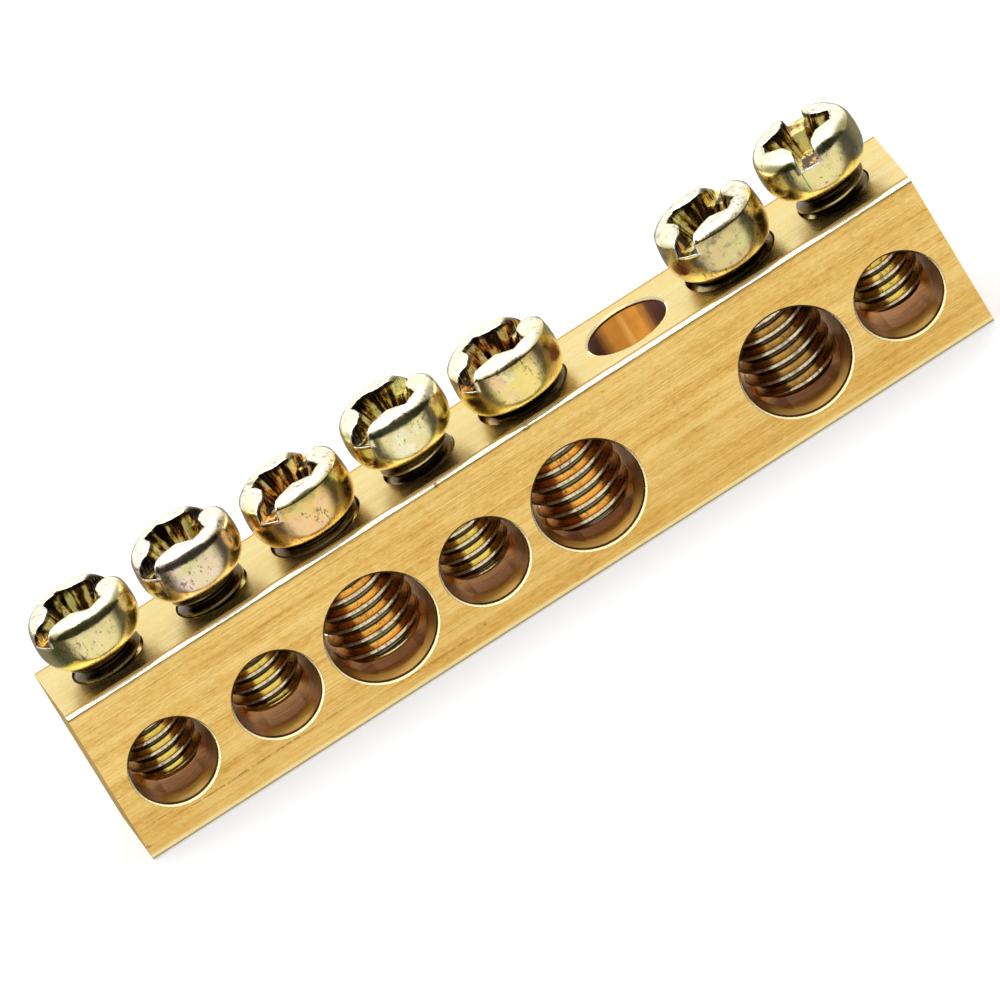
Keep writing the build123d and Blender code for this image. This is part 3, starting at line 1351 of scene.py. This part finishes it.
@dataclass
class TerminalScrew:
    """A clamping screw: barrel head with a slot-and-cross drive, and a threaded shank."""

    number: int
    kind: ScrewKind
    x: float
    rise: float
    slot_angle: float
    finish: PassivatedSteel
    thread_turn: float = 0.0
    rolled: float = 1.0
    bar: BarSizes = BarSizes()
    form: HeadForm = HeadForm()
    drive: DriveForm = DriveForm()

    # Head
    head_columns: int = 384
    dent_depth: float = 0.03
    dent_start: float = 0.6
    dent_lumps: tuple[tuple[float, float], ...] = ((0.7, 0.9), (0.3, 2.6))
    upper_margin: float = 0.3
    cut_reach: float = 2.0
    wall_gap: float = 0.006
    edge_width: float = 0.07

    # Shank: the thread's form is a row of shares of a turn and of the thread's depth
    shank_columns: int = 96
    thread_form: tuple[tuple[float, float], ...] = (
        (0.00, 0.0), (0.05, 0.10), (0.19, 0.52), (0.33, 0.94), (0.39, 1.0),
        (0.55, 1.0), (0.61, 0.94), (0.75, 0.52), (0.89, 0.10), (0.94, 0.0))
    spare_turns: int = 3
    lead_columns: float = 2.0
    neck_depth: float = 0.5
    neck_run: float = 0.5
    tip_run: float = 0.8
    tip_inset: float = 0.02
    crest_mark: float = 0.02
    shade_start: float = 0.35
    shade_end: float = 0.05

    @property
    def name(self) -> str:
        """Name of the piece in the scene."""
        return f"clamping_screw_{self.number}"

    @property
    def seed(self) -> int:
        """First of the screw's own seeds."""
        return SEEDS_PER_SCREW * self.number

    def blank(self) -> tuple[np.ndarray, np.ndarray, np.ndarray, np.ndarray]:
        """Lay out the head's rows and columns, dented, before the drive is cut.

        Returns:
            The places across, in x and y, the heights, and the radius that each row is turned to.
        """
        sizes, form = self.kind.value, self.form
        profile = form.profile(sizes)
        angles = np.linspace(0.0, 2.0 * pi, self.head_columns, endpoint=False)
        radius = np.repeat(profile[:, :1], self.head_columns, axis=1)
        height = np.repeat(profile[:, 1:], self.head_columns, axis=1)
        x, y = radius * np.cos(angles), radius * np.sin(angles)
        y = self.snapped(x, y)
        flat = np.column_stack([x.ravel(), y.ravel(), height.ravel()])
        dents = sum(weight * lattice_noise(flat, per_mm, self.seed + k)
                    for k, (weight, per_mm) in enumerate(self.dent_lumps))
        dents = dents.reshape(x.shape) * self.dent_depth * smooth_step(0.0, self.dent_start, height)
        x, y = x * (1.0 + dents / sizes.head), y * (1.0 + dents / sizes.head)
        height = height - np.abs(dents) * smooth_step(form.belt_height, form.height, height)
        return x, y, height, radius

    def head_points(self) -> tuple[np.ndarray, dict[str, np.ndarray]]:
        """Cut the drive into the head, with its wear.

        Returns:
            The points as rows by columns by three, and the named values at them.
        """
        form, drive = self.form, self.drive
        x, y, blank, radius = self.blank()
        flute = drive.flutes(np.arctan2(y, x), self.seed + 2)
        cut = np.minimum(form.height - drive.cross_cut(x, y, flute), form.height - drive.slot_cut(x, y))
        top = smooth_step(form.belt_height + self.upper_margin, form.height - self.upper_margin, blank)
        burr = drive.burr(x, y, blank, form.height - drive.slot_depth)
        x = x * (1.0 + burr / np.maximum(radius, 1.0))
        worn = blank - top * (drive.slot_worn(x, y, self.rolled) + drive.dished(x, y))
        final = np.where(blank > form.height - self.cut_reach, soft_lower(worn, cut, drive.lip), worn)
        depth = np.clip((blank - final) / drive.cross_depth, 0.0, 1.0)
        beside = np.abs(y) - drive.slot_wall(x)
        beside = np.where(beside < 0.0, 1.0, beside)
        edge = top * np.exp(-np.minimum(np.abs(worn - cut), beside) / self.edge_width)
        edge = np.maximum(edge, burr / drive.burr_height)
        return np.dstack([x, y, final]), named_values(recess=depth, flute=flute, edge=edge)

    def snapped(self, x: np.ndarray, y: np.ndarray) -> np.ndarray:
        """Move the points that straddle the slot's edges onto its walls, so that they are clean.

        Args:
            x: Places along the slot.
            y: Places across the slot.

        Returns:
            The places across the slot, moved.
        """
        reach = np.hypot(x, y) * pi / self.head_columns + self.wall_gap
        outside = np.abs(y) - self.drive.slot_wall(x)
        wall = self.drive.slot_wall(x) + np.where(outside < 0.0, -self.wall_gap, self.wall_gap)
        return np.where(np.abs(outside) < reach, np.sign(y) * wall, y)

    def shank_points(self) -> tuple[np.ndarray, dict[str, np.ndarray]]:
        """Lay out the shank with its rows along the thread's own helix.

        Returns:
            The points as rows by columns by three, and the named values at them.
        """
        sizes = self.kind.value
        form = np.array(self.thread_form)
        turns = int(sizes.length / sizes.pitch) + self.spare_turns
        phase = np.concatenate([form[:, 0] + turn for turn in range(turns)])
        depth = np.tile(form[:, 1], turns)
        share = np.arange(self.shank_columns) / self.shank_columns
        angles = 2.0 * pi * share + self.thread_turn
        height = sizes.pitch * (share[None, :] - phase[:, None])
        height = height + self.lead_columns * sizes.pitch / self.shank_columns
        outer, cut = sizes.thread / 2.0, sizes.thread_depth
        radius = np.broadcast_to(outer - cut * depth[:, None], height.shape)
        neck = outer - self.neck_depth * cut
        radius = neck + (radius - neck) * smooth_step(0.0, self.neck_run, -height)
        face = outer - cut - self.tip_inset
        cone = np.maximum(face + (height + sizes.length), face)
        radius = np.where(height < -sizes.length + self.tip_run, np.minimum(radius, cone), radius)
        height = np.clip(height, -sizes.length, 0.0)
        radius = np.where(height >= 0.0, neck, radius)
        root = np.clip((outer - radius) / cut, 0.0, 1.0)
        shade = smooth_step(-self.rise - self.shade_start, -self.rise - self.shade_end, height)
        points = np.dstack([radius * np.cos(angles), radius * np.sin(angles), height])
        return points, named_values(root=root + self.crest_mark, shade=shade)

    def head_faces(self, rows: int) -> list[tuple[int, ...]]:
        """List the head's faces, row by row, and the fan that closes the middle of its crown.

        Args:
            rows: How many rows of points there are.

        Returns:
            The faces.
        """
        count = self.head_columns
        faces = [(i * count + j, (i + 1) * count + j, (i + 1) * count + (j + 1) % count,
                  i * count + (j + 1) % count) for i in range(rows - 1) for j in range(count)]
        return faces + [(rows * count, j, (j + 1) % count) for j in range(count)]

    def shank_faces(self, start: int, rows: int) -> list[tuple[int, ...]]:
        """List the shank's faces, where the end of each turn meets the start of the turn above.

        Args:
            start: Number of the shank's first point.
            rows: How many rows of points there are.

        Returns:
            The faces.
        """
        count, per_turn = self.shank_columns, len(self.thread_form)
        faces: list[tuple[int, ...]] = []
        for i in range(rows - 1):
            row = start + i * count
            faces += [(row + j, row + count + j, row + count + j + 1, row + j + 1) for j in range(count - 1)]
            if i >= per_turn:
                above = row - per_turn * count
                faces.append((row + count - 1, row + 2 * count - 1, above + count, above))
        return faces

    def neck_faces(self, last: int, start: int) -> list[tuple[int, ...]]:
        """List the faces between the head's lowest ring and the shank's ring, which has fewer points.

        Args:
            last: Number of the first point of the head's last row.
            start: Number of the shank's first point.

        Returns:
            The faces.
        """
        ratio = self.head_columns // self.shank_columns
        half = ratio // 2
        faces: list[tuple[int, ...]] = []
        for j in range(self.shank_columns):
            top, following = start + j, start + (j + 1) % self.shank_columns
            ring = [last + (j * ratio + k) % self.head_columns for k in range(ratio + 1)]
            faces += [(ring[k], top, ring[k + 1]) for k in range(half)]
            faces.append((ring[half], top, following))
            faces += [(ring[k], following, ring[k + 1]) for k in range(half, ratio)]
        return faces

    def sheet(self) -> MeshSheet:
        """Join head, shank and end face into one closed mesh, at the screw's own place.

        Returns:
            The mesh.
        """
        (head, head_values), (shank, shank_values) = self.head_points(), self.shank_points()
        crown = head.shape[0] * self.head_columns
        start = crown + 1
        tip = start + shank.shape[0] * self.shank_columns
        foot = tip - self.shank_columns
        faces = self.head_faces(head.shape[0]) + self.shank_faces(start, shank.shape[0])
        faces += self.neck_faces(crown - self.head_columns, start)
        faces += [(foot + j, tip, foot + (j + 1) % self.shank_columns) for j in range(self.shank_columns)]
        middle = np.array([[0.0, 0.0, head[0, 0, 2]]])
        end = np.array([[0.0, 0.0, -self.kind.value.length]])
        points = np.vstack([head.reshape(-1, 3), middle, shank.reshape(-1, 3), end])
        values = {
            label: np.concatenate([head_values[label].ravel(), head_values[label][0, :1],
                                   shank_values[label].ravel(), [0.0]])
            for label in head_values
        }
        return MeshSheet(self.placed(points), faces, values).welded()

    def placed(self, points: np.ndarray) -> np.ndarray:
        """Turn the screw to its slot's angle and set it in its hole.

        Args:
            points: The screw's points about its own axis.

        Returns:
            The points in the part's own frame.
        """
        angle = radians(self.slot_angle)
        turn = np.array([[cos(angle), -sin(angle), 0.0], [sin(angle), cos(angle), 0.0], [0.0, 0.0, 1.0]])
        return points @ turn.T + np.array([self.x, 0.0, self.bar.height + self.rise])

    def build(self) -> bpy.types.Object:
        """Make the screw, dress it, and let it stand for its solid.

        Returns:
            The screw.
        """
        piece = self.sheet().to_object(self.name)
        piece.data.materials.append(self.finish.material())
        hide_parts(f"terminal_screw_{self.number}")
        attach(piece, f"screw_{self.number}")
        return piece


@dataclass
class ScrewRow:
    """The seven screws along the bar."""

    bar: BarSizes = BarSizes()
    thread_turns: float = 0.7
    rolled: tuple[float, ...] = (1.0, 1.0, 1.0, 1.0, 1.0, 1.0, 0.3)

    def screws(self) -> list[TerminalScrew]:
        """List the screws from left to right, with their rises, slots and tints.

        Returns:
            The screws.
        """
        small, large = ScrewKind.SMALL, ScrewKind.LARGE
        # The root colour here is painted shade too.
        orange = {"low_flank": (1.0, 0.58, 0.20), "high_flank": (1.0, 0.80, 0.34),
                  "root_shade": (0.20, 0.17, 0.10), "green": (0.90, 0.58, 0.16), "amber": (0.86, 0.36, 0.06)}
        finishes = [
            PassivatedSteel("passivated_green", blush_share=0.1, shift=1.0),
            PassivatedSteel("passivated_pink", film=(0.85, 0.70, 0.42), pale=(0.93, 0.84, 0.64),
                            blush=(0.93, 0.70, 0.56), blush_share=0.55, shift=2.4),
            PassivatedSteel("passivated_peach", film=(0.88, 0.62, 0.20), pale=(0.93, 0.78, 0.42),
                            blush=(0.92, 0.60, 0.32), **orange, blush_share=0.6, shift=3.9),
            PassivatedSteel("passivated_lemon", film=(0.86, 0.76, 0.36), pale=(0.93, 0.88, 0.60),
                            blush_share=0.1, shift=5.2),
            PassivatedSteel("passivated_gold", film=(0.93, 0.74, 0.24), pale=(0.95, 0.85, 0.46),
                            blush=(0.94, 0.66, 0.36), **orange, blush_share=0.5, shift=6.8),
            PassivatedSteel("passivated_grey", film=(0.74, 0.58, 0.26), pale=(0.84, 0.74, 0.46),
                            low_flank=(0.66, 0.44, 0.18), high_flank=(0.80, 0.62, 0.30),
                            blush_share=0.15, dull_share=0.5, shift=8.1),
            PassivatedSteel("passivated_straw", blush_share=0.15, shift=9.6),
        ]
        rows = [(0, small, 1.00, 27), (1, small, 1.12, 32), (2, large, 0.48, 47), (3, small, 1.06, 38),
                (4, large, 0.40, 34), (6, large, 0.45, 50), (7, small, 1.20, 80)]
        return [
            TerminalScrew(k + 1, kind, self.bar.station_x(station), rise, turn, finishes[k],
                          thread_turn=self.thread_turns * k, rolled=self.rolled[k])
            for k, (station, kind, rise, turn) in enumerate(rows)
        ]

    def build(self) -> list[bpy.types.Object]:
        """Make every screw."""
        return [screw.build() for screw in self.screws()]


@dataclass
class Busbar:
    """The drawn bar, which keeps its own solid and takes a finish."""

    finish: DrawnBrass = field(default_factory=DrawnBrass)

    def dress(self) -> bpy.types.Object:
        """Give the bar its brass.

        Returns:
            The bar.
        """
        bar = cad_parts["busbar"]
        material = self.finish.material()
        if not bar.material_slots:
            bar.data.materials.append(material)
        for place in bar.material_slots:
            place.material = material
        return bar


# Studio


@dataclass
class PhotoCamera:
    """A long lens at the photograph's angle."""

    azimuth: float = -2.94
    elevation: float = 25.6
    roll: float = 31.40
    lens: float = 1000.0
    sensor: float = 36.0
    frame_width: float = 48.775
    target: tuple[float, float, float] = (-0.610, 0.999, 4.296)

    def build(self) -> bpy.types.Object:
        """Place the camera and make it the scene's own.

        Returns:
            The camera.
        """
        a, e, t = radians(self.azimuth), radians(self.elevation), radians(self.roll)
        right = Vector((cos(a), sin(a), 0.0))
        up = Vector((-sin(a) * sin(e), cos(a) * sin(e), cos(e)))
        back = Vector((sin(a) * cos(e), -cos(a) * cos(e), sin(e)))
        rolled_right = right * cos(t) - up * sin(t)
        rolled_up = right * sin(t) + up * cos(t)
        data = bpy.data.cameras.new("photo_camera")
        data.lens, data.sensor_width = self.lens, self.sensor
        camera = bpy.data.objects.new("photo_camera", data)
        bpy.context.scene.collection.objects.link(camera)
        distance = self.frame_width * self.lens / self.sensor
        place = (Vector(self.target) + back * distance) * MM
        turned = Matrix((rolled_right, rolled_up, back)).transposed().to_4x4()
        camera.matrix_world = Matrix.Translation(place) @ turned
        bpy.context.scene.camera = camera
        return camera


@dataclass
class Studio:
    """A white floor under a graded room, and a soft lamp overhead.

    The room's slopes run over parts of a direction: ahead is 1 towards the front and -1 behind.
    """

    floor_half: float = 3.0
    floor_colour: Colour = (0.55, 0.55, 0.55)
    floor_glow: float = 0.52
    plain_level: float = 0.6
    behind: Slope = Slope(-0.7, 0.0, 0.26, 0.08)
    in_front: Slope = Slope(0.45, 0.75, 0.0, 0.92)
    ceiling: Slope = Slope(-0.06, 0.10, 0.03, 1.25)
    ceiling_tilt: tuple[float, float] = (0.94, 0.342)
    ceiling_sides: Slope = Slope(0.60, 0.90, 1.0, 0.35)
    horizon: Slope = Slope(-0.10, 0.0)
    least_reach: float = 0.001
    lamp_centre: tuple[float, float, float] = (-20.0, 60.0, 300.0)
    lamp_target: tuple[float, float, float] = (0.0, 0.0, 5.0)
    lamp_size: tuple[float, float] = (420.0, 300.0)
    lamp_level: float = 2.2

    def white_share(self, sheet: NodeSheet) -> Socket:
        """Tell the rays that see the background, straight or in metal and glass, from the rest.

        Args:
            sheet: The floor's tree.

        Returns:
            1 for those rays and 0 for the rest.
        """
        rays = sheet.node("ShaderNodeLightPath").outputs
        direct = sheet.most(rays["Is Camera Ray"], rays["Is Glossy Ray"])
        return sheet.most(direct, rays["Is Transmission Ray"])

    def room(self, sheet: NodeSheet) -> Socket:
        """Grade the room that metal mirrors: bright overhead and in front, dim behind and beside.

        Args:
            sheet: The world's tree.

        Returns:
            How bright the room is that way.
        """
        x, y, z = sheet.axes(sheet.node("ShaderNodeTexCoord").outputs["Generated"])
        ahead = sheet.sum("DIVIDE", sheet.times(y, -1.0), sheet.most(sheet.reach(x, y), self.least_reach))
        low = sheet.plus(sheet.span(ahead, self.behind), sheet.span(ahead, self.in_front))
        tilt = sheet.plus(sheet.times(y, self.ceiling_tilt[0]), sheet.times(z, self.ceiling_tilt[1]))
        high = sheet.times(sheet.span(tilt, self.ceiling), sheet.span(sheet.size(x), self.ceiling_sides))
        above = sheet.span(z, self.horizon)
        return sheet.plus(sheet.times(high, above), sheet.times(low, sheet.minus(1.0, above)))

    def sky(self) -> None:
        """Make the world white to look at, and graded like a lit room where metal mirrors it."""
        world = bpy.data.worlds.new("studio")
        world.use_nodes = True
        sheet = NodeSheet(tree=world.node_tree)
        background = sheet.tree.nodes["Background"]
        background.inputs["Color"].default_value = (1.0, 1.0, 1.0, 1.0)
        rays = sheet.node("ShaderNodeLightPath").outputs
        mirrored = sheet.most(rays["Is Glossy Ray"], rays["Is Transmission Ray"])
        lit = sheet.times(mirrored, sheet.minus(self.room(sheet), self.plain_level))
        lit = sheet.plus(lit, self.plain_level)
        seen = sheet.plus(sheet.times(rays["Is Camera Ray"], sheet.minus(1.0, lit)), lit)
        sheet.feed(background.inputs["Strength"], seen)
        bpy.context.scene.world = world

    def floor(self) -> bpy.types.Object:
        """Lay the pale floor, which keeps the part's shadow.

        Returns:
            The floor.
        """
        half = self.floor_half / MM
        corners = np.array([(-half, -half, 0), (half, -half, 0), (half, half, 0), (-half, half, 0)], float)
        piece = MeshSheet(corners, [(0, 1, 2, 3)]).to_object("floor")
        material = bpy.data.materials.new("floor_white")
        material.use_nodes = True
        sheet = NodeSheet(tree=material.node_tree)
        sheet.tree.nodes.clear()
        plain, glow = sheet.node("ShaderNodeBsdfDiffuse"), sheet.node("ShaderNodeEmission")
        sheet.feed(plain.inputs["Color"], self.floor_colour)
        sheet.feed(glow.inputs["Strength"], sheet.times(self.white_share(sheet), self.floor_glow))
        both = sheet.node("ShaderNodeAddShader")
        sheet.feed(both.inputs[0], plain.outputs[0])
        sheet.feed(both.inputs[1], glow.outputs[0])
        sheet.feed(sheet.node("ShaderNodeOutputMaterial").inputs["Surface"], both.outputs[0])
        piece.data.materials.append(material)
        piece.visible_glossy = False
        return piece

    def softbox(self) -> bpy.types.Object:
        """Hang the soft lamp over the part, facing it.

        Returns:
            The lamp.
        """
        data = bpy.data.lights.new("top_softbox", "AREA")
        data.shape = "RECTANGLE"
        data.size, data.size_y = self.lamp_size[0] * MM, self.lamp_size[1] * MM
        data.energy = self.lamp_level * pi * data.size * data.size_y
        lamp = bpy.data.objects.new("top_softbox", data)
        bpy.context.scene.collection.objects.link(lamp)
        place = Vector(self.lamp_centre) * MM
        away = (place - Vector(self.lamp_target) * MM).normalized()
        lamp.matrix_world = Matrix.Translation(place) @ away.to_track_quat("Z", "Y").to_matrix().to_4x4()
        return lamp

    def build(self) -> None:
        """Set the whole studio up."""
        self.sky()
        self.floor()
        self.softbox()
        bpy.context.scene.view_settings.view_transform = "Standard"


def main() -> None:
    """Build the part's looks and its studio, and log each piece's face count."""
    logging.basicConfig(level=logging.INFO, format="%(message)s")
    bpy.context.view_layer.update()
    bar = Busbar().dress()
    LOG.info("%s: %d faces", bar.name, len(bar.data.polygons))
    for piece in ScrewRow().build():
        LOG.info("%s: %d faces", piece.name, len(piece.data.polygons))
    PhotoCamera().build()
    Studio().build()


if __name__ == "__main__":
    main()
